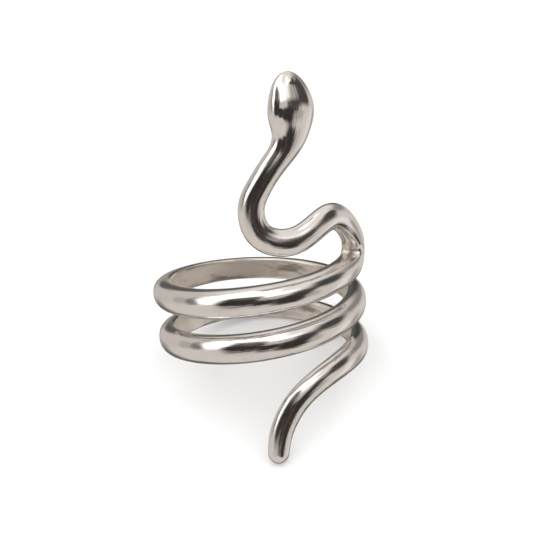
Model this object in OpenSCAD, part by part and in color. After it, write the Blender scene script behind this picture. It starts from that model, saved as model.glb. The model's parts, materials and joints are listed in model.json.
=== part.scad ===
// Snake wrap ring: one polished casting. A snake lies round the finger in a coil of two turns,
// its tail curls down in front, and its neck rises in an S to a smooth rounded head.
// The ring rests as it would by itself, leaning back on its tail tip and the coil's lower edge.

/* [Finger] */
// Inside diameter of the coil, a US size 7
finger_d = 17.3; // [15:0.1:22]

/* [Coil] */
// Full turns round the finger, from the tail's root to the front
turns = 2; // [1:1:4]
// Rise of the coil in one turn
pitch = 4.65; // [3.6:0.05:8]
// How far the first half turn, behind the finger, is raised
hitch = 0.55; // [0:0.05:0.8]
// Width of the band in front, along the finger
band_w = 2.9; // [1.6:0.05:3.4]
// Width of the band behind the finger
back_w = 2.15; // [1.4:0.05:3.2]
// Thickness of the band at the coil's top, in front
band_t = 2.1; // [1.2:0.05:2.8]
// Thickness of the band at the tail's root
root_t = 1.75; // [1.1:0.05:2.4]
// Thickness of the band behind the finger
back_t = 1.6; // [1.1:0.05:2.4]

/* [Neck] */
// Width of the body in the S bends
body_w = 2.65; // [1.6:0.05:3.4]
// Thickness of the body in the S bends
body_t = 2.3; // [1.4:0.05:3.2]
// How far round the finger the S reaches, from the front line to the right bend
bend_reach = 13.2; // [10:0.1:18]
// Height of the neck above the coil's front
neck_rise = 14.05; // [11:0.1:22]

/* [Head] */
// Length of the head, from the neck to the tip of the snout
head_l = 7.6; // [5.5:0.1:10]
// Width of the head
head_w = 4.6; // [3.4:0.05:6.5]
// Thickness of the head, out from the finger
head_t = 2.8; // [2.4:0.05:4]

/* [Tail] */
// How far round the finger the tail reaches, from its root at the right to its tip
tail_reach = 15.15; // [10:0.1:22]
// How far the tail's tip hangs below its root
tail_drop = 8.55; // [5:0.1:16]
// Width of the tail just above its tip
tail_w = 2.1; // [1.2:0.05:3]
// Thickness of the tail just above its tip
tail_t = 1.7; // [1.2:0.05:2.6]

/* [Hidden] */

// Facets: sides of a section, rings between two rows of the path, rings in the rounded tail tip
SIDES = 20;
RINGS = 3;
TIP_RINGS = 4;
ROWS_A_TURN = 12;

// Section of the band: how deep it reaches into the finger's cylinder, which then cuts it
// flat, the share of its thickness inside its widest line, and the power that squares it up
SINK = 0.4;
BAND_BELLY = 0.38;
BAND_POWER = 0.85;
// Section of the round body: its gap to the finger, and the share inside its widest line
LIFT = 0.12;
BODY_BELLY = 0.5;

finger_r = finger_d / 2;
// The tail's root is a quarter turn round from the front
ROOT_TURN = 0.25;

// Columns of the path: angle round the finger from the front, height, width, thickness out
// from the finger, and flatness, from 0 for the round body to 1 for the band
ANGLE = 0;
HEIGHT = 1;
WIDE = 2;
THICK = 3;
FLAT = 4;

// Tail, from its tip to its root. Columns: share of tail_reach round the finger, share of
// tail_drop down, share of the way from the tail's size to the band's, flatness
TAIL = [
    [1.00, 1.00, -0.30, 0.0],
    [0.99, 0.86, 0.00, 0.0],
    [0.97, 0.66, 0.20, 0.0],
    [0.91, 0.44, 0.40, 0.1],
    [0.805, 0.23, 0.42, 0.3],
    [0.64, 0.09, 0.45, 0.6],
    [0.435, 0.02, 0.55, 0.9],
    [0.22, 0.00, 0.70, 1.0],
];

// Body in the S bends, from the coil to the neck. Columns: share of bend_reach round the
// finger, share of neck_rise up, share of body_w, flatness
BENDS = [
    [0.50, 0.02, 1.04, 1.0],
    [0.75, 0.04, 1.03, 0.95],
    [0.89, 0.055, 1.02, 0.8],
    [0.965, 0.085, 1.01, 0.6],
    [1.00, 0.15, 1.00, 0.3],
    [0.985, 0.225, 0.97, 0.1],
    [0.90, 0.30, 0.94, 0.0],
    [0.755, 0.44, 0.95, 0.0],
    [0.62, 0.495, 1.02, 0.0],
    [0.505, 0.465, 1.00, 0.0],
    [0.38, 0.41, 1.00, 0.0],
    [0.28, 0.38, 1.02, 0.0],
    [0.15, 0.39, 1.01, 0.0],
    [0.04, 0.445, 1.00, 0.0],
    [-0.01, 0.545, 0.99, 0.0],
    [-0.015, 0.68, 0.96, 0.0],
    [0.065, 0.805, 0.92, 0.0],
    [0.15, 0.91, 0.92, 0.0],
    [0.245, 1.00, 0.98, 0.0],
];

// Head, above the neck. Columns: share of bend_reach round the finger, share of head_l up,
// share of the way from the body's width to the head's, and from the body's thickness
HEAD = [
    [0.295, 0.13, 0.28, 0.12],
    [0.32, 0.25, 0.58, 0.30],
    [0.33, 0.36, 0.87, 0.55],
    [0.335, 0.47, 1.03, 0.90],
    [0.335, 0.60, 1.04, 1.05],
    [0.335, 0.73, 1.02, 0.60],
    [0.335, 0.87, 1.00, 0.05],
    [0.34, 1.00, 1.00, -0.40],
];
// Rows of the path that the rounding of the snout takes, and that of the tail's tip
SNOUT_ROWS = 4;
TIP_ROWS = 0.8;

function mix(a, b, share) = a + (b - a) * share;
function arc_angle(length) = length / (finger_r + body_t / 2) * 180 / PI;

// Height of the coil, so many turns from the tail's root
function coil_height(turn) = pitch * turn + (turn < 0.5 ? hitch * pow(sin(360 * turn), 2) : 0);
// How far behind the finger a place on the coil lies, 0 in front and 1 at the back
function backness(angle) = pow((1 - cos(angle)) / 2, 1.5);

tail_rows = [for (row = TAIL) [
    360 * ROOT_TURN - arc_angle(row[0] * tail_reach),
    -row[1] * tail_drop,
    mix(tail_w, band_w, row[2]),
    mix(tail_t, root_t, row[2]),
    row[3],
]];

coil_turns = turns - ROOT_TURN;
coil_rows = [for (i = [0 : ROWS_A_TURN * coil_turns])
    let (turn = i / ROWS_A_TURN, angle = 360 * (ROOT_TURN + turn), back = backness(angle)) [
        angle,
        coil_height(turn),
        mix(band_w, back_w, back),
        mix(mix(root_t, band_t, turn / coil_turns), back_t, back),
        1,
    ]
];

front_angle = 360 * turns;
front_height = coil_height(coil_turns);

bend_rows = [for (row = BENDS) [
    front_angle + arc_angle(row[0] * bend_reach),
    front_height + row[1] * neck_rise,
    row[2] * body_w,
    mix(body_t, band_t, row[3]),
    row[3],
]];

head_rows = [for (row = HEAD) [
    front_angle + arc_angle(row[0] * bend_reach),
    front_height + neck_rise + row[1] * head_l,
    mix(body_w, head_w, row[2]),
    mix(body_t, head_t, row[3]),
    0,
]];

path = concat(tail_rows, coil_rows, bend_rows, head_rows);
last = len(path) - 1;

// Row of the path, with one more beyond each end that carries on straight
function path_row(i) =
    i < 0 ? 2 * path[0] - path[1] :
    i > last ? 2 * path[last] - path[last - 1] :
    path[i];

// Uniform cubic B-spline along the rows, smooth in place, direction and curvature
function row_at(u) =
    let (i = min(floor(u), last - 1), f = u - i)
    (pow(1 - f, 3) * path_row(i - 1)
        + (3 * pow(f, 3) - 6 * pow(f, 2) + 4) * path_row(i)
        + (-3 * pow(f, 3) + 3 * pow(f, 2) + 3 * f + 1) * path_row(i + 1)
        + pow(f, 3) * path_row(i + 2)) / 6;

function unit(v) = v / norm(v);
function outward(angle) = [sin(angle), -cos(angle), 0];
function sink(row) = mix(-LIFT, SINK, row[FLAT]);
function belly(row) = mix(BODY_BELLY, BAND_BELLY, row[FLAT]) * (row[THICK] + sink(row));
function centre(row) =
    (finger_r - sink(row) + belly(row)) * outward(row[ANGLE]) + [0, 0, row[HEIGHT]];
// Cosine or sine, squared up by a power
function squared(value, power) = sign(value) * pow(abs(value), power);

// One ring of points round the path at u, drawn in by scale
STEP = 0.001;
function ring(u, scale) =
    let (
        row = row_at(u),
        along = unit(centre(row_at(min(u + STEP, last))) - centre(row_at(max(u - STEP, 0)))),
        straight_out = outward(row[ANGLE]),
        out = unit(straight_out - (straight_out * along) * along),
        side = cross(along, out),
        power = mix(1, BAND_POWER, row[FLAT]),
        inner = belly(row),
        outer = row[THICK] + sink(row) - inner
    )
    [for (k = [0 : SIDES - 1])
        let (
            c = squared(cos(360 * k / SIDES), power),
            s = squared(sin(360 * k / SIDES), power)
        )
        centre(row) + scale * ((c > 0 ? outer : inner) * c * out + row[WIDE] / 2 * s * side)
    ];

// Rings along the body, with closer ones drawn in to round the tail's tip and the snout
snout = last - SNOUT_ROWS;
stations = concat(
    [for (i = [1 : TIP_RINGS])
        let (a = 90 * i / TIP_RINGS) [TIP_ROWS * (1 - cos(a)), sin(a)]],
    [for (i = [RINGS : RINGS * snout - 1]) [i / RINGS, 1]],
    [for (i = [0 : 2 * TIP_RINGS - 1])
        let (a = 90 - 45 * i / TIP_RINGS) [last - SNOUT_ROWS * (1 - cos(a)), sin(a)]]
);
rings = [for (s = stations) ring(s[0], s[1])];
count = len(rings);
points = concat([for (r = rings) each r], [centre(path[0]), centre(path[last])]);
faces = concat(
    [for (i = [0 : count - 2]) for (k = [0 : SIDES - 1])
        let (a = i * SIDES + k, b = i * SIDES + (k + 1) % SIDES)
        each [[a, b + SIDES, b], [a, a + SIDES, b + SIDES]]],
    [for (k = [0 : SIDES - 1]) [count * SIDES, k, (k + 1) % SIDES]],
    [for (k = [0 : SIDES - 1])
        [count * SIDES + 1, (count - 1) * SIDES + (k + 1) % SIDES, (count - 1) * SIDES + k]]
);

// How the ring rests: on its tail tip and the lower edge of the coil behind the finger, so it
// leans back by lean and sways sideways by sway to where its centre of mass is lowest
pieces = [for (i = [0 : last]) let (row = row_at(i), next = row_at(min(i + 1, last)))
    [centre(row), row[WIDE] * row[THICK] * norm(centre(next) - centre(row))]];
function total(list, i = 0) = i == len(list) ? 0 : list[i] + total(list, i + 1);
mass_centre = [for (axis = [0 : 2]) total([for (p = pieces) p[0][axis] * p[1]])]
    / total([for (p = pieces) p[1]]);

function swayed(p, sway) = [p.x * cos(sway) + p.z * sin(sway), p.y, p.z * cos(sway) - p.x * sin(sway)];
function leant(p, lean) = [p.x, p.y * cos(lean) + p.z * sin(lean), p.z * cos(lean) - p.y * sin(lean)];
function low(list, lean) = min([for (p = list) p.z * cos(lean) - p.y * sin(lean)]);

tip_points = [for (i = [0 : 2 * TIP_RINGS]) each rings[i]];
first_coil_ring = TIP_RINGS + RINGS * len(TAIL);
coil_points = [for (i = [first_coil_ring : first_coil_ring + RINGS * ROWS_A_TURN]) each rings[i]];

// Lean at which the tail's tip and the coil touch the surface together
MAX_LEAN = 80;
HALVINGS = 16;
function lean_of(tip, coil, from = 0, to = MAX_LEAN, left = HALVINGS) =
    let (middle = (from + to) / 2)
    left == 0 ? middle :
    low(tip, middle) < low(coil, middle) ? lean_of(tip, coil, middle, to, left - 1) :
    lean_of(tip, coil, from, middle, left - 1);

function lean_at(sway) =
    lean_of([for (p = tip_points) swayed(p, sway)], [for (p = coil_points) swayed(p, sway)]);
function rest_height(sway) =
    let (lean = lean_at(sway))
    leant(swayed(mass_centre, sway), lean).z - low([for (p = tip_points) swayed(p, sway)], lean);

MAX_SWAY = 15;
THIRDINGS = 14;
function sway_between(from, to, left = THIRDINGS) =
    let (a = mix(from, to, 1 / 3), b = mix(from, to, 2 / 3))
    left == 0 ? (from + to) / 2 :
    rest_height(a) < rest_height(b) ? sway_between(from, b, left - 1) :
    sway_between(a, to, left - 1);

sway = sway_between(-MAX_SWAY, MAX_SWAY);
lean = lean_at(sway);
at_rest = [for (p = points) leant(swayed(p, sway), lean)];
function middle_of(axis) = (min([for (p = at_rest) p[axis]]) + max([for (p = at_rest) p[axis]])) / 2;
floor_level = min([for (p = at_rest) p.z]);

// Snake: the swept body, cut flat where it lies on the finger, standing at rest on z = 0
module snake_ring() {
    reach = pitch * turns + neck_rise + head_l + tail_drop;
    color("silver")
        translate([-middle_of(0), -middle_of(1), -floor_level])
            rotate([-lean, 0, 0])
                rotate([0, sway, 0])
                    difference() {
                        polyhedron(points, faces);
                        cylinder(r = finger_r, h = 2 * reach, center = true, $fn = 120);
                    }
}

snake_ring();
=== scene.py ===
import json
import math

import bpy
import numpy as np
from mathutils import Matrix, Vector, noise


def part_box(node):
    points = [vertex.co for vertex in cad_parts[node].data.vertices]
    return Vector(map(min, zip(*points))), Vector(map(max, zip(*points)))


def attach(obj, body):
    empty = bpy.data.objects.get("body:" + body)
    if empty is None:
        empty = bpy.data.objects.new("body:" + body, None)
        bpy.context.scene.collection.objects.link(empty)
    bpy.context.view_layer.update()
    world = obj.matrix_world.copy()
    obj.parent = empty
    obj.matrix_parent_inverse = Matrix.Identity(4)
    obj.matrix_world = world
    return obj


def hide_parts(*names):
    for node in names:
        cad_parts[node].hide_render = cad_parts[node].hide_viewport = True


# Snake wrap ring: one polished silver casting on a pale table. The sweep follows the same rows
# as the part's source, with finer rings, and its section keeps the same form.

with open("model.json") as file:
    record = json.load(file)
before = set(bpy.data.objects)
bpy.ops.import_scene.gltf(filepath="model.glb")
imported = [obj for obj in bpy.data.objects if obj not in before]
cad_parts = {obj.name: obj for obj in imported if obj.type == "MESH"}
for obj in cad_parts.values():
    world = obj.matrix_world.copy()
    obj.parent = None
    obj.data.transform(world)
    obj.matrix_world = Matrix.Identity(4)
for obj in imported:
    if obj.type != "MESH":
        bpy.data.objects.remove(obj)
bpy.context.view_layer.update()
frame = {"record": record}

MM = 0.001

# Sizes in millimetres, as in the part's source
FINGER = frame["record"]["mounts"][0]
FINGER_R = FINGER["dims"]["r_mm"]
TURNS = 2
PITCH = 4.65
HITCH = 0.55
BAND_W = 2.9
BACK_W = 2.15
BAND_T = 2.1
ROOT_T = 1.75
BACK_T = 1.6
BODY_W = 2.65
BODY_T = 2.3
BEND_REACH = 13.2
NECK_RISE = 14.05
HEAD_L = 7.6
HEAD_W = 4.6
HEAD_T = 2.8
TAIL_REACH = 15.15
TAIL_DROP = 8.55
TAIL_W = 2.1
TAIL_T = 1.7

# Rows of the path in a turn of the coil, and the tail's root, a quarter turn from the front
ROWS_A_TURN = 12
ROOT_TURN = 0.25
# Turns that the coil is raised over, and how fast the band narrows toward the back
HITCH_TURNS = 0.5
BACK_POWER = 1.5
# Section of the band: how deep it reaches into the finger's cylinder, which then cuts it
# flat, the share of its thickness inside its widest line, and the power that squares it up
SINK = 0.4
BAND_BELLY = 0.38
BAND_POWER = 0.85
# Section of the round body: its gap to the finger, and the share inside its widest line
LIFT = 0.12
BODY_BELLY = 0.5
# Rows that the rounded snout and tail tip take, and rows from the head's start to the snout
SNOUT_ROWS = 4
TIP_ROWS = 0.8
HEAD_ROWS = 8

# Columns of the path: angle round the finger from the front, height, width, thickness out
# from the finger, and flatness, from 0 for the round body to 1 for the band
ANGLE, HEIGHT, WIDE, THICK, FLAT = range(5)

# Tail, from its tip to its root. Columns: share of TAIL_REACH round the finger, share of
# TAIL_DROP down, share of the way from the tail's size to the band's, flatness
TAIL = [
    [1.00, 1.00, -0.30, 0.0],
    [0.99, 0.86, 0.00, 0.0],
    [0.97, 0.66, 0.20, 0.0],
    [0.91, 0.44, 0.40, 0.1],
    [0.805, 0.23, 0.42, 0.3],
    [0.64, 0.09, 0.45, 0.6],
    [0.435, 0.02, 0.55, 0.9],
    [0.22, 0.00, 0.70, 1.0],
]

# Body in the S bends, from the coil to the neck. Columns: share of BEND_REACH round the
# finger, share of NECK_RISE up, share of BODY_W, flatness
BENDS = [
    [0.50, 0.02, 1.04, 1.0],
    [0.75, 0.04, 1.03, 0.95],
    [0.89, 0.055, 1.02, 0.8],
    [0.965, 0.085, 1.01, 0.6],
    [1.00, 0.15, 1.00, 0.3],
    [0.985, 0.225, 0.97, 0.1],
    [0.90, 0.30, 0.94, 0.0],
    [0.755, 0.44, 0.95, 0.0],
    [0.62, 0.495, 1.02, 0.0],
    [0.505, 0.465, 1.00, 0.0],
    [0.38, 0.41, 1.00, 0.0],
    [0.28, 0.38, 1.02, 0.0],
    [0.15, 0.39, 1.01, 0.0],
    [0.04, 0.445, 1.00, 0.0],
    [-0.01, 0.545, 0.99, 0.0],
    [-0.015, 0.68, 0.96, 0.0],
    [0.065, 0.805, 0.92, 0.0],
    [0.15, 0.91, 0.92, 0.0],
    [0.245, 1.00, 0.98, 0.0],
]

# Head, from the neck to the snout. Columns: share of BEND_REACH round the finger, share of
# HEAD_L up, share of the way from the body's width to the head's, and of its thickness
HEAD = [
    [0.295, 0.13, 0.28, 0.12],
    [0.32, 0.25, 0.58, 0.30],
    [0.33, 0.36, 0.87, 0.55],
    [0.335, 0.47, 1.03, 0.90],
    [0.335, 0.60, 1.04, 1.05],
    [0.335, 0.73, 1.02, 0.60],
    [0.335, 0.87, 1.00, 0.05],
    [0.34, 1.00, 1.00, -0.40],
]

# How fine the sweep is: rings in a row of the path, in the tail's tip and in the snout, and
# points of a ring on its outside, on its inside and in each edge between them
RINGS_A_ROW = 12
TIP_RINGS = 14
SNOUT_RINGS = 30
OUTSIDE_POINTS = 46
INSIDE_POINTS = 14
EDGE_POINTS = 3
# Points that a section is first drawn with, and halvings that find where it meets the finger
DENSE = 360
HALVINGS = 30
# Rows ahead and behind that a section's direction is taken over
STRIDE = 0.001
# Points that stand closer together along the body than this share of the usual, as they do
# inside a tight bend, are eased apart. The easing is blended along the body and then applied,
# each in this many passes.
TIGHT = 0.45
BLEND_PASSES = 300
EASE_PASSES = 900
# Share of the way to its neighbours' middle that a pass takes a point, along the body and
# round the section, and how strongly the easing makes the silver dull and rough, with a
# darker taupe tint there that is painted shade
EASE_ALONG = 0.5
EASE_ROUND = 0.4
CREASE_DULL_AND_SHADE = 4.0
# Polished-over edge where the band's flat inside meets its round outside
EDGE_ROUND = 0.16
# Bend, in degrees, at which an edge is fully rounded
FULL_ROUND = 30
# Smallest half angle, in degrees, of the section's inside stretch
INSIDE_ANGLE = 35
# Length round the body, in millimetres, that the texture takes it to have
ROUND_LENGTH = 8
# Unevenness that hand polishing leaves, its size across, and the finer one's share of both
WAVE_DEPTH = 0.008
WAVE_SIZE = 2.6
FINE_DEPTH = 0.4
FINE_SIZE = 0.45
# Low round bump on the snout: rows back from the tip, reach and height
NOSE_BACK = 0.76
NOSE_REACH = 0.6
NOSE_HEIGHT = 0.13


def mix(a, b, share):
    return a + (b - a) * share


def arc_angle(length):
    return math.degrees(length / (FINGER_R + BODY_T / 2))


def coil_height(turn):
    raised = HITCH * math.sin(math.pi * turn / HITCH_TURNS) ** 2 if turn < HITCH_TURNS else 0
    return PITCH * turn + raised


def backness(angle):
    return ((1 - math.cos(math.radians(angle))) / 2) ** BACK_POWER


def path_rows():
    """Rows of the path, from the tail's tip to the snout."""
    rows = []
    for reach, drop, share, flat in TAIL:
        rows.append([360 * ROOT_TURN - arc_angle(reach * TAIL_REACH), -drop * TAIL_DROP,
                     mix(TAIL_W, BAND_W, share), mix(TAIL_T, ROOT_T, share), flat])
    coil_turns = TURNS - ROOT_TURN
    for i in range(int(ROWS_A_TURN * coil_turns) + 1):
        turn = i / ROWS_A_TURN
        angle = 360 * (ROOT_TURN + turn)
        back = backness(angle)
        thick = mix(mix(ROOT_T, BAND_T, turn / coil_turns), BACK_T, back)
        rows.append([angle, coil_height(turn), mix(BAND_W, BACK_W, back), thick, 1])
    front = 360 * TURNS
    height = coil_height(coil_turns)
    for reach, rise, share, flat in BENDS:
        rows.append([front + arc_angle(reach * BEND_REACH), height + rise * NECK_RISE,
                     share * BODY_W, mix(BODY_T, BAND_T, flat), flat])
    for reach, rise, wide, thick in HEAD:
        rows.append([front + arc_angle(reach * BEND_REACH), height + NECK_RISE + rise * HEAD_L,
                     mix(BODY_W, HEAD_W, wide), mix(BODY_T, HEAD_T, thick), 0])
    return np.array(rows)


ROWS = path_rows()
LAST = len(ROWS) - 1


def rows_at(places):
    """Uniform cubic B-spline along the rows, a row for each place."""
    padded = np.vstack([2 * ROWS[0] - ROWS[1], ROWS, 2 * ROWS[-1] - ROWS[-2]])
    first = np.clip(np.floor(places).astype(int), 0, LAST - 1)
    f = places - first
    weights = np.array([(1 - f) ** 3, 3 * f ** 3 - 6 * f ** 2 + 4,
                        -3 * f ** 3 + 3 * f ** 2 + 3 * f + 1, f ** 3]) / 6
    return np.einsum("kn,nkc->nc", weights, padded[first[:, None] + np.arange(4)])


def unit(vectors):
    return vectors / np.linalg.norm(vectors, axis=-1, keepdims=True)


def outward(rows):
    a = np.radians(rows[:, ANGLE])
    return np.array([np.sin(a), -np.cos(a), 0 * a]).T


def sink_of(rows):
    return mix(-LIFT, SINK, rows[:, FLAT])


def inner_depth(rows):
    return mix(BODY_BELLY, BAND_BELLY, rows[:, FLAT]) * (rows[:, THICK] + sink_of(rows))


def centres(rows):
    up = rows[:, HEIGHT, None] * np.array([[0, 0, 1]])
    return (FINGER_R - sink_of(rows) + inner_depth(rows))[:, None] * outward(rows) + up


def sections(places, scales):
    """Points of the sections at these places, as a function of the angles round them."""
    rows = rows_at(places)
    ahead = centres(rows_at(np.minimum(places + STRIDE, LAST)))
    behind = centres(rows_at(np.maximum(places - STRIDE, 0)))
    along = unit(ahead - behind)
    straight_out = outward(rows)
    out = unit(straight_out - np.sum(straight_out * along, axis=1, keepdims=True) * along)
    side = np.cross(along, out)
    head = np.clip((places - LAST + HEAD_ROWS) / SNOUT_ROWS, 0, 1)
    power = mix(1, BAND_POWER, np.maximum(rows[:, FLAT], head))[:, None]
    inner = inner_depth(rows)[:, None]
    outer = (rows[:, THICK] + sink_of(rows))[:, None] - inner
    middle = centres(rows)

    def points(angles):
        c = np.sign(np.cos(angles)) * np.abs(np.cos(angles)) ** power
        s = np.sign(np.sin(angles)) * np.abs(np.sin(angles)) ** power
        depth = np.where(c > 0, outer, inner) * c * scales[:, None]
        width = rows[:, WIDE, None] / 2 * s * scales[:, None]
        return middle[:, None] + depth[..., None] * out[:, None] + width[..., None] * side[:, None]

    return points


def radial(points):
    return np.hypot(points[..., 0], points[..., 1])


def crossings(points, count, sign):
    """Angles at which the sections meet the finger's cylinder, on one side of them."""
    low, high = np.full(count, math.pi / 2), np.full(count, math.pi)
    for _ in range(HALVINGS):
        middle = (low + high) / 2
        clear = radial(points(sign * middle[:, None]))[:, 0] > FINGER_R
        low, high = np.where(clear, middle, low), np.where(clear, high, middle)
    return sign * np.minimum(low, math.pi - math.radians(INSIDE_ANGLE))


def run(points, start, end, edge, count):
    """Evenly spaced points from one edge to the other, and the corners at both ends."""
    line = points(np.linspace(start, end, DENSE, axis=1))
    r = radial(line)
    line[..., :2] *= (np.maximum(r, FINGER_R) / r)[..., None]
    steps = np.linalg.norm(np.diff(line, axis=1), axis=2)
    lengths = np.concatenate([np.zeros((len(line), 1)), np.cumsum(steps, axis=1)], axis=1)
    at = np.linspace(edge, lengths[:, -1] - edge, count, axis=1)
    even = np.array([[np.interp(at[i], lengths[i], line[i, :, k]) for k in range(3)]
                     for i in range(len(line))])
    return even.transpose(0, 2, 1), line[:, 0], line[:, -1]


def rounded_edge(before, corner, after):
    """Points that round a sharp corner, and stay on the curve where there is none."""
    turn = np.sum(unit(corner - before) * unit(after - corner), axis=1)
    sharp = np.minimum(np.degrees(np.arccos(np.clip(turn, -1, 1))) / FULL_ROUND, 1)[:, None]
    points = []
    for k in range(1, EDGE_POINTS + 1):
        t = k / (EDGE_POINTS + 1)
        curve = (1 - t) ** 2 * before + 2 * t * (1 - t) * corner + t ** 2 * after
        straight = mix(before, corner, 2 * t) if t < 0.5 else mix(corner, after, 2 * t - 1)
        points.append(mix(straight, curve, sharp))
    return np.array(points).transpose(1, 0, 2)


def rings_at(places, scales):
    """Rings of points, each one round outside, edge, flat inside and edge."""
    points = sections(places, scales)
    first, second = crossings(points, len(places), -1), crossings(points, len(places), 1)
    edge = EDGE_ROUND * scales
    outside, first_corner, second_corner = run(points, first, second, edge, OUTSIDE_POINTS)
    inside, _, _ = run(points, second, first + 2 * math.pi, edge, INSIDE_POINTS)
    return np.concatenate([
        outside,
        rounded_edge(outside[:, -1], second_corner, inside[:, 0]),
        inside,
        rounded_edge(inside[:, -1], first_corner, outside[:, 0]),
    ], axis=1)


def eased(rings):
    """Rings with their points spread inside the tight bends, where they would bunch up into a
    crease, and how much each point is eased."""
    gaps = np.linalg.norm(np.diff(rings, axis=0), axis=2)
    usual = gaps.mean(axis=1, keepdims=True)
    tight = np.clip((TIGHT - gaps / usual) / TIGHT, 0, 1)
    share = np.zeros(rings.shape[:2])
    share[1:-1] = np.maximum(tight[1:], tight[:-1])
    share[:TIP_RINGS + RINGS_A_ROW] = 0
    share[-SNOUT_RINGS - RINGS_A_ROW:] = 0
    for _ in range(BLEND_PASSES):
        share[1:-1] = (share[:-2] + 2 * share[1:-1] + share[2:]) / 4
    for _ in range(EASE_PASSES):
        along = (rings[:-2] + rings[2:]) / 2 - rings[1:-1]
        round_it = (np.roll(rings, 1, axis=1) + np.roll(rings, -1, axis=1)) / 2 - rings
        step = EASE_ALONG * along + EASE_ROUND * round_it[1:-1]
        rings[1:-1] += share[1:-1, :, None] * step
    return rings, share


def stations():
    """Places along the path with their scale, closer together in the rounded tips."""
    tip = np.radians(90 * np.arange(1, TIP_RINGS + 1) / TIP_RINGS)
    snout = np.radians(90 * (1 - np.arange(SNOUT_RINGS) / SNOUT_RINGS))
    start = math.ceil(TIP_ROWS * RINGS_A_ROW) + 1
    body = np.arange(start, (LAST - SNOUT_ROWS) * RINGS_A_ROW) / RINGS_A_ROW
    places = [TIP_ROWS * (1 - np.cos(tip)), body, LAST - SNOUT_ROWS * (1 - np.cos(snout))]
    scales = [np.sin(tip), np.ones(len(body)), np.sin(snout)]
    return np.concatenate(places), np.concatenate(scales)


def rest_matrix():
    """Turn from the ring's upright frame to its rest pose, from the finger hole's axis."""
    x, y, z = FINGER["axis"]
    sway = math.asin(x)
    lean = math.atan2(y, z)
    return Matrix.Rotation(-lean, 3, "X") @ Matrix.Rotation(sway, 3, "Y")


TURN = rest_matrix()


def snake_mesh():
    """The swept body in the row frame, in metres, and the move that took it there."""
    places, scales = stations()
    rings, eased_share = eased(rings_at(places, scales))
    count, sides = rings.shape[:2]
    points = np.vstack([rings.reshape(-1, 3), centres(ROWS[[0, -1]])]) @ np.array(TURN).T
    low, high = points.min(0), points.max(0)
    move = -np.array([(low[0] + high[0]) / 2, (low[1] + high[1]) / 2, low[2]])
    points = (points + move) * MM

    corner = np.arange(count * sides).reshape(count, sides)
    beside = np.roll(corner, -1, axis=1)
    quads = np.stack([corner[:-1], beside[:-1], beside[1:], corner[1:]], axis=-1).reshape(-1, 4)
    tail_pole, snout_pole = count * sides, count * sides + 1
    faces = [tuple(q) for q in quads.tolist()]
    faces += [(tail_pole, b, a) for a, b in zip(corner[0].tolist(), beside[0].tolist())]
    faces += [(snout_pole, a, b) for a, b in zip(corner[-1].tolist(), beside[-1].tolist())]
    mesh = bpy.data.meshes.new("snake")
    mesh.from_pydata(points.tolist(), [], faces)
    mesh.polygons.foreach_set("use_smooth", [True] * len(mesh.polygons))

    # UV runs along the body and round it, both in millimetres
    steps = np.linalg.norm(np.diff(rings.mean(1), axis=0), axis=1)
    lengths = np.concatenate([[0], np.cumsum(steps)])
    uv = np.zeros((len(points), 2))
    uv[:count * sides, 0] = np.repeat(lengths, sides)
    uv[:count * sides, 1] = np.tile(np.arange(sides) * ROUND_LENGTH / sides, count)
    uv[snout_pole, 0] = lengths[-1]
    vertices = np.zeros(len(mesh.loops), int)
    mesh.loops.foreach_get("vertex_index", vertices)
    mesh.uv_layers.new(name="body").data.foreach_set("uv", uv[vertices].ravel())

    # The inside of the band and of the tight bend, which the polishing wheel barely reaches, is
    # rougher there, and takes a darker taupe tint that is painted shade
    dull_and_shaded = np.minimum(CREASE_DULL_AND_SHADE * eased_share, 1)
    band = dull_and_shaded[:, OUTSIDE_POINTS + 1:]
    band[:] = np.maximum(band, rows_at(places)[:, FLAT, None])
    dull_and_shaded = np.append(dull_and_shaded.ravel(), [0, 0])
    mesh.attributes.new("dull_and_shaded", "FLOAT", "POINT").data.foreach_set("value", dull_and_shaded)
    return mesh, move


def vertex_values(mesh, name):
    values = np.zeros(len(mesh.vertices) * 3)
    mesh.vertices.foreach_get(name, values)
    return values.reshape(-1, 3)


def uneven(mesh):
    """Moves the surface by the few microns that hand polishing leaves."""
    size = WAVE_SIZE * MM
    points, normals = vertex_values(mesh, "co"), vertex_values(mesh, "normal")
    shifts = [noise.noise(Vector(p / size))
              + FINE_DEPTH * noise.noise(Vector(p / size / FINE_SIZE)) for p in points]
    points += normals * np.array(shifts)[:, None] * WAVE_DEPTH * MM
    mesh.vertices.foreach_set("co", points.ravel())


def nose_bump(mesh, move):
    """Raises the small bump on the snout."""
    scale = math.sqrt(1 - (1 - NOSE_BACK / SNOUT_ROWS) ** 2)
    front = sections(np.array([LAST - NOSE_BACK]), np.array([scale]))(np.zeros((1, 1)))[0, 0]
    spot = (front @ np.array(TURN).T + move) * MM
    points, normals = vertex_values(mesh, "co"), vertex_values(mesh, "normal")
    away = np.linalg.norm(points - spot, axis=1) / (NOSE_REACH * MM)
    points += normals * (np.maximum(1 - away ** 2, 0) ** 2)[:, None] * NOSE_HEIGHT * MM
    mesh.vertices.foreach_set("co", points.ravel())


def inside_box(mesh, low, high):
    """Keeps every point inside the CAD's box."""
    points = np.clip(vertex_values(mesh, "co"), np.array(low), np.array(high))
    mesh.vertices.foreach_set("co", points.ravel())
    mesh.update()


# Nodes of a material or world, made and linked in one line each
def node(tree, kind, inputs=None, **settings):
    n = tree.nodes.new(kind)
    for name, value in settings.items():
        setattr(n, name, value)
    for key, value in (inputs or {}).items():
        if isinstance(value, bpy.types.NodeSocket):
            tree.links.new(value, n.inputs[key])
        else:
            n.inputs[key].default_value = value
    return n


def cloud(tree, place, scale, detail, roughness=0.5, output="Fac"):
    return node(tree, "ShaderNodeTexNoise",
                {"Vector": place, "Scale": scale, "Detail": detail,
                 "Roughness": roughness}).outputs[output]


def stretched(tree, place, scale, angle=0):
    return node(tree, "ShaderNodeMapping",
                {"Vector": place, "Rotation": (0, 0, math.radians(angle)),
                 "Scale": scale}).outputs["Vector"]


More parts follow.
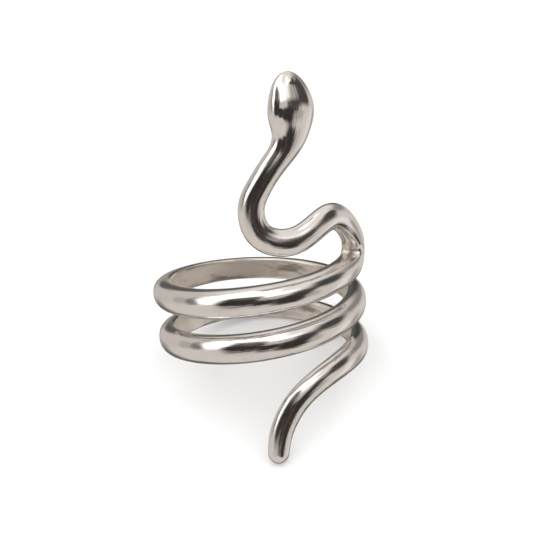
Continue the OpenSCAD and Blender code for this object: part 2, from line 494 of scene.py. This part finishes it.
def ramp(tree, factor, stops):
    n = node(tree, "ShaderNodeValToRGB", {"Fac": factor})
    elements = n.color_ramp.elements
    while len(elements) > 1:
        elements.remove(elements[-1])
    elements[0].position, elements[0].color = stops[0][0], (*stops[0][1], 1)
    for position, colour in stops[1:]:
        elements.new(position).color = (*colour, 1)
    return n.outputs["Color"]


def map_range(tree, value, low, high, to_low=0.0, to_high=1.0, shape="LINEAR"):
    return node(tree, "ShaderNodeMapRange",
                {"Value": value, "From Min": low, "From Max": high, "To Min": to_low,
                 "To Max": to_high}, interpolation_type=shape).outputs["Result"]


def maths(tree, operation, *values):
    return node(tree, "ShaderNodeMath", dict(enumerate(values)),
                operation=operation).outputs["Value"]


def painted_over(tree, share, under, over, how="MIX"):
    """Colour over colour. Sockets 0, 6 and 7 of a colour mix are its factor and colours."""
    return node(tree, "ShaderNodeMix", {0: share, 6: under, 7: over},
                data_type="RGBA", blend_type=how).outputs[2]


def new_material(name):
    material = bpy.data.materials.new(name)
    material.use_nodes = True
    material.node_tree.nodes.clear()
    return material


# Colours of the polished silver over its smudges, and the darker, mottled taupe tint that is
# painted shade on the dull silver
POLISHED = [(0.30, (0.86, 0.840, 0.812)), (0.55, (0.93, 0.914, 0.891)),
            (0.75, (0.90, 0.880, 0.852))]
DULL_SHADE_TINT = [(0.36, (0.40, 0.36, 0.325)), (0.48, (0.93, 0.87, 0.815)), (0.60, (1.0, 0.96, 0.92))]
# Roughness of the cleanest and the most smudged silver, and what a scratch and dullness add
CLEAN_ROUGHNESS = 0.035
SMUDGED_ROUGHNESS = 0.08
SCRATCH_ROUGHNESS = 0.10
DULL_ROUGHNESS = 0.34
# Height of the polish lines, in metres, and the grain's share of it
LINE_HEIGHT = 0.000028
GRAIN_HEIGHT = 0.05
# Slant of the scratches, in degrees
SCRATCH_ANGLE = 38


def silver():
    """Polished silver: warm white metal with fine polish lines, smudges and small scratches;
    duller, with a mottled taupe tint of painted shade, inside the band and in the tight bend.
    """
    material = new_material("silver")
    tree = material.node_tree
    uv = node(tree, "ShaderNodeUVMap", uv_map="body").outputs["UV"]
    place = node(tree, "ShaderNodeTexCoord").outputs["Object"]
    dull_and_shaded = node(tree, "ShaderNodeAttribute", attribute_name="dull_and_shaded").outputs["Fac"]

    smudge = cloud(tree, place, 260.0, 4.0, 0.6)
    grain = cloud(tree, place, 3800.0, 3.0, 0.65)
    lines = cloud(tree, stretched(tree, uv, (0.16, 2.4, 1.0)), 1.0, 5.0, 0.6)
    scratches = cloud(tree, stretched(tree, uv, (0.5, 14.0, 1.0), SCRATCH_ANGLE), 2.2, 2.0)
    shade_mottling = cloud(tree, stretched(tree, uv, (0.22, 0.8, 1.0)), 1.0, 3.0)

    smudged = map_range(tree, smudge, 0.3, 0.7, CLEAN_ROUGHNESS, SMUDGED_ROUGHNESS)
    thin = map_range(tree, scratches, 0.66, 0.74)
    scratched = maths(tree, "MULTIPLY_ADD", thin, SCRATCH_ROUGHNESS, smudged)
    rough = maths(tree, "MULTIPLY_ADD", dull_and_shaded, DULL_ROUGHNESS, scratched)
    height = maths(tree, "MULTIPLY_ADD", grain, GRAIN_HEIGHT, lines)
    bump = node(tree, "ShaderNodeBump",
                {"Height": height, "Strength": 1.0, "Distance": LINE_HEIGHT})
    # The dull silver's darker taupe tint is painted shade in the band's inside and the tight bend
    painted_shade_tint = painted_over(tree, dull_and_shaded, (1, 1, 1, 1), ramp(tree, shade_mottling, DULL_SHADE_TINT))
    colour = painted_over(tree, 1.0, ramp(tree, smudge, POLISHED), painted_shade_tint, "MULTIPLY")
    shader = node(tree, "ShaderNodeBsdfPrincipled",
                  {"Base Color": colour, "Roughness": rough,
                   "Normal": bump.outputs["Normal"], "Metallic": 1.0})
    node(tree, "ShaderNodeOutputMaterial", {"Surface": shader.outputs["BSDF"]})
    return material


def table_material():
    """Plain white table with the faintest mottling."""
    material = new_material("table")
    tree = material.node_tree
    place = node(tree, "ShaderNodeTexCoord").outputs["Object"]
    colour = ramp(tree, cloud(tree, place, 60.0, 3.0),
                  [(0.3, (0.86, 0.86, 0.86)), (0.7, (0.88, 0.88, 0.88))])
    shader = node(tree, "ShaderNodeBsdfPrincipled", {"Base Color": colour, "Roughness": 0.9})
    node(tree, "ShaderNodeOutputMaterial", {"Surface": shader.outputs["BSDF"]})
    return material


# The photo's view of the upright ring: elevation above the plane of its coil, lean of the
# ring's axis to the left in the picture, distance, and the picture's scale at the coil
VIEW_ELEVATION = 17.8
VIEW_ROLL = 5.3
VIEW_DISTANCE = 210
PIXELS_PER_MM = 10.02
PICTURE = 533
# Where the middle of the coil's axis lies in the picture, in pixels from the top left, and
# its height
AXIS_PIXEL = (261.2, 305.2)
AXIS_HEIGHT = 4.6
# Width of the camera's sensor, in millimetres, and the nearest that it sees, in metres
SENSOR = 36
NEAREST = 0.005


def camera_frame():
    """Right, up and back of the photo's camera, in the row frame."""
    e = math.radians(VIEW_ELEVATION)
    back = Vector((0, -math.cos(e), math.sin(e)))
    right = Vector((1, 0, 0))
    up = back.cross(right)
    r = math.radians(VIEW_ROLL)
    turned_right = math.cos(r) * right - math.sin(r) * up
    turned_up = math.sin(r) * right + math.cos(r) * up
    return TURN @ turned_right, TURN @ turned_up, TURN @ back


def photo_camera(move):
    right, up, back = camera_frame()
    target = (TURN @ Vector((0, 0, AXIS_HEIGHT)) + Vector(move)) * MM
    location = target + back * VIEW_DISTANCE * MM
    focal = PIXELS_PER_MM * VIEW_DISTANCE
    # The camera turns a little so that the coil's middle lands on its pixel
    across = (AXIS_PIXEL[0] - PICTURE / 2) / focal
    down = (AXIS_PIXEL[1] - PICTURE / 2) / focal
    toward = (-back).normalized()
    forward = (toward - across * right + down * up).normalized()
    level = forward.cross(up).normalized()
    upright = level.cross(forward)
    data = bpy.data.cameras.new("photo_camera")
    data.sensor_width = SENSOR
    data.lens = SENSOR * focal / PICTURE
    data.clip_start = NEAREST
    camera = bpy.data.objects.new("photo_camera", data)
    bpy.context.scene.collection.objects.link(camera)
    axes = Matrix((level, upright, -forward)).transposed().to_4x4()
    camera.matrix_world = Matrix.Translation(location) @ axes
    bpy.context.scene.camera = camera
    return right, up, back


# What the silver mirrors: rounded patches, painted in this order over PLAIN. Places are in
# degrees as seen from the ring: azimuth to the right of the camera, elevation above it. Columns:
# azimuth, elevation, half width, half height, turn, share of the half sizes that the edge fades
# over, tone. DARK has brown specks.
WHITE, LIGHT, BEIGE = (1.5, 1.48, 1.45), (0.80, 0.76, 0.725), (0.64, 0.595, 0.555)
PLAIN, SHADE, DARK = (0.56, 0.515, 0.48), (0.06, 0.057, 0.054), (0.016, 0.0155, 0.0165)
RIM, BROWN, GREY = (0.16, 0.148, 0.138), (0.062, 0.050, 0.043), (0.14, 0.131, 0.123)
STUDIO = [
    [0, -80, 260, 34, 0, 0.4, BEIGE],
    [112, -18, 56, 34, 0, 0.5, BEIGE],
    [112, -15, 12, 12, 0, 1.2, LIGHT],
    [-105, -30, 50, 20, 0, 0.8, (0.62, 0.58, 0.545)],
    [0, 88, 260, 28, 0, 0.5, LIGHT],
    [-80, 11, 8, 22, 0, 0.8, (0.2, 0.187, 0.175)],
    [-60, 25, 11, 34, 0, 0.7, WHITE],
    [-20, 42, 56, 36, 0, 0.3, WHITE],
    [40, 50, 30, 22, 0, 0.6, LIGHT],
    [128, 38, 32, 13, 0, 0.9, (0.25, 0.232, 0.216)],
    [72, 22, 21, 24, 0, 0.7, SHADE],
    [46, -4, 15, 15, 0, 0.7, SHADE],
    [-25, -8, 22, 27, -14, 0.4, DARK],
    [38, -29, 22, 19, 0, 0.5, DARK],
    [4, -27, 14, 15, 0, 0.4, DARK],
    [-20, 15, 18, 11, -20, 0.9, GREY],
    [126, -34, 8, 12, 0, 0.9, SHADE],
    [-97, 10, 9, 16, 0, 0.9, (0.42, 0.39, 0.36)],
    [127, -8, 8, 9, 0, 1.0, (0.38, 0.352, 0.328)],
    [66, -24, 8, 9, 0, 1.0, (0.42, 0.39, 0.36)],
    [-180, -30, 42, 26, 0, 0.5, RIM],
    [180, -30, 42, 26, 0, 0.5, RIM],
    [-180, 36, 30, 14, 0, 0.6, (0.11, 0.102, 0.095)],
    [180, 36, 22, 13, 0, 0.7, SHADE],
    [-174, 4, 12, 16, 0, 0.6, (0.30, 0.28, 0.26)],
]
# How far, in degrees, the patches' edges wander across and up
WANDER = (9, 7)
# How bright the plain light on the table is, and half the table's side, in metres
TABLE_LIGHT = 1.42
TABLE_HALF = 2.0


def studio(right, up, back):
    """Soft studio round the ring, in the silver, and plain white light on the table."""
    world = bpy.data.worlds.new("studio")
    bpy.context.scene.world = world
    world.use_nodes = True
    tree = world.node_tree
    tree.nodes.clear()
    ray = node(tree, "ShaderNodeTexCoord").outputs["Generated"]

    def vector_node(operation, *values):
        return node(tree, "ShaderNodeVectorMath", dict(enumerate(values)), operation=operation)

    def along(axis):
        return vector_node("DOT_PRODUCT", ray, tuple(axis)).outputs["Value"]

    def in_degrees(angle):
        return maths(tree, "MULTIPLY", angle, math.degrees(1))

    turn = maths(tree, "ARCTAN2", along(right), along(back))
    rise = maths(tree, "ARCSINE", along(up))
    place = node(tree, "ShaderNodeCombineXYZ",
                 {"X": in_degrees(turn), "Y": in_degrees(rise)}).outputs["Vector"]
    wander = cloud(tree, place, 0.07, 4.0, 0.6, "Color")
    offset = vector_node("MULTIPLY_ADD", wander, (*WANDER, 0),
                         (-WANDER[0] / 2, -WANDER[1] / 2, 0)).outputs["Vector"]
    moved = vector_node("ADD", place, offset).outputs["Vector"]
    specks = cloud(tree, stretched(tree, place, (0.35, 0.11, 1)), 1.0, 3.0, 0.7)
    speckled = ramp(tree, specks, [(0.42, DARK), (0.62, BROWN)])

    tone = (*PLAIN, 1)
    for azimuth, elevation, wide, high, tilt, fade, colour in STUDIO:
        local = node(tree, "ShaderNodeMapping", {
            "Vector": moved, "Location": (azimuth, elevation, 0),
            "Rotation": (0, 0, math.radians(tilt)), "Scale": (wide, high, 1)},
            vector_type="TEXTURE").outputs["Vector"]
        # The fourth root of x^4 + y^4 is 1 on the edge of a rounded rectangle
        square = vector_node("MULTIPLY", local, local).outputs["Vector"]
        fourth = vector_node("DOT_PRODUCT", square, square).outputs["Value"]
        share = map_range(tree, maths(tree, "POWER", fourth, 0.25),
                          1 + fade / 2, 1 - fade / 2, shape="SMOOTHSTEP")
        tone = painted_over(tree, share, tone, speckled if colour is DARK else (*colour, 1))

    mirrored = node(tree, "ShaderNodeBackground", {"Color": tone, "Strength": 1.0})
    plain = node(tree, "ShaderNodeBackground", {"Color": (1, 1, 1, 1), "Strength": TABLE_LIGHT})
    glossy = node(tree, "ShaderNodeLightPath").outputs["Is Glossy Ray"]
    both = node(tree, "ShaderNodeMixShader", {
        0: glossy, 1: plain.outputs["Background"], 2: mirrored.outputs["Background"]})
    node(tree, "ShaderNodeOutputWorld", {"Surface": both.outputs["Shader"]})


def table():
    mesh = bpy.data.meshes.new("table")
    corners = [(x * TABLE_HALF, y * TABLE_HALF, 0) for x, y in ((-1, -1), (1, -1), (1, 1), (-1, 1))]
    mesh.from_pydata(corners, [], [(0, 1, 2, 3)])
    obj = bpy.data.objects.new("table", mesh)
    bpy.context.scene.collection.objects.link(obj)
    obj.data.materials.append(table_material())
    obj.visible_glossy = False


mesh, move = snake_mesh()
uneven(mesh)
nose_bump(mesh, move)
inside_box(mesh, *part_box("snake_ring"))
snake = bpy.data.objects.new("snake", mesh)
bpy.context.scene.collection.objects.link(snake)
snake.data.materials.append(silver())
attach(snake, "root")
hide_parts("snake_ring")

studio(*photo_camera(move))
table()
bpy.context.scene.view_settings.view_transform = "Standard"
